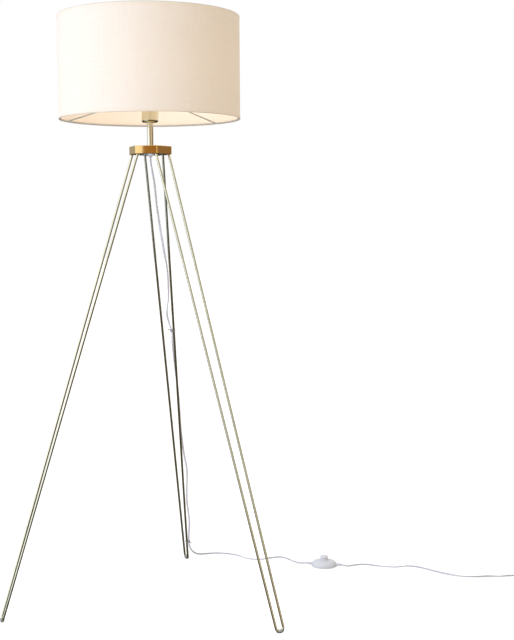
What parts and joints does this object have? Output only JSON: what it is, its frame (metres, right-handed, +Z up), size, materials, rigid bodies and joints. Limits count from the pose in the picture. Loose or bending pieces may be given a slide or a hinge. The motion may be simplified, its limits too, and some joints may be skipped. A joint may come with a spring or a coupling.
{
  "type": "tripod floor lamp",
  "caption": "Floor lamp on hairpin legs of bent brass rod, with a six-sided hub, a drum shade over a screw lampholder, and a flat cord with a foot switch and plug.",
  "frame": {"origin": "on the tripod's axis, at floor level", "axes": "+Z up; +Y along the rear leg; +X to the right for someone in front of the lamp"},
  "size_m": [1.3921, 0.708, 1.476],
  "materials": {
    "shade_fabric": "fine plain weave, off-white",
    "shade_lining": "stiff white lining",
    "shade_tape": "narrow rolled edge in the shade's fabric",
    "white_wire": "white powder coat",
    "white_plastic": "smooth moulded",
    "ceramic": "glazed, white",
    "brass_polished": "polished and lacquered",
    "contact_brass": "plain stamped",
    "steel": "zinc plated",
    "bulb_metal": "rolled screw cap",
    "bulb_insulator": "black vitrite",
    "bulb_opal": "opal diffuser",
    "cord_plastic": "slightly clear white flex",
    "clear_plastic": "clear",
    "nickel_pins": "nickel plated"
  },
  "bodies": {
    "lamp": {"shade_fabric": "shade_fabric", "shade_lining": "shade_lining", "shade_top_wire": "white_wire", "shade_carrier": "white_wire", "shade_top_tape": "shade_tape", "shade_bottom_tape": "shade_tape", "shade_ring_nut": "white_plastic", "lampholder_cup": "brass_polished", "lampholder_sleeve": "white_plastic", "lampholder_base": "ceramic", "lampholder_screw_shell": "contact_brass", "lampholder_centre_contact": "contact_brass", "lampholder_side_contact": "contact_brass", "lampholder_terminal_screws": "steel", "lampholder_nut": "steel", "lampholder_wires": "cord_plastic", "stem_cap_nut": "brass_polished", "stem_tube": "brass_polished", "threaded_tube": "steel", "hub_body": "brass_polished", "hub_washer": "steel", "hub_nut": "steel", "cable_bush": "white_plastic", "leg_plate_rear": "steel", "leg_plate_left": "steel", "leg_plate_right": "steel", "leg_plate_screws": "steel", "leg_rear": "brass_polished", "leg_left": "brass_polished", "leg_right": "brass_polished", "foot_sleeve_rear": "clear_plastic", "foot_sleeve_left": "clear_plastic", "foot_sleeve_right": "clear_plastic", "cable_tie_upper": "clear_plastic", "cable_tie_lower": "clear_plastic", "cord_lamp": "cord_plastic", "cord_plug": "cord_plastic", "cord_coil": "cord_plastic", "cord_tail": "cord_plastic", "switch_base": "white_plastic", "switch_cover": "white_plastic", "switch_spring": "steel", "switch_terminals": "contact_brass", "switch_terminal_screws": "steel", "switch_case_screws": "steel", "switch_relief_in": "white_plastic", "switch_relief_out": "white_plastic", "plug_body": "white_plastic", "plug_pins": "nickel_pins", "plug_relief": "white_plastic"},
    "bulb": {"bulb_globe": "bulb_opal", "bulb_housing": "white_plastic", "bulb_cap": "bulb_metal", "bulb_cap_insulator": "bulb_insulator", "bulb_tip_contact": "bulb_metal"},
    "foot_button": {"switch_button": "white_plastic", "switch_contact_bridge": "contact_brass"}
  },
  "joints": [
    {"name": "bulb_unscrew", "type": "slide", "parent": "lamp", "child": "bulb", "axis": [0, 0, 1], "range_m": [0, 0.024]},
    {"name": "foot_button_press", "type": "slide", "parent": "lamp", "child": "foot_button", "axis": [0, 0, -1], "range_m": [0, 0.003], "stiffness_N_per_m": 600, "springref_m": -0.002, "deforming": ["switch_spring"]}
  ]
}
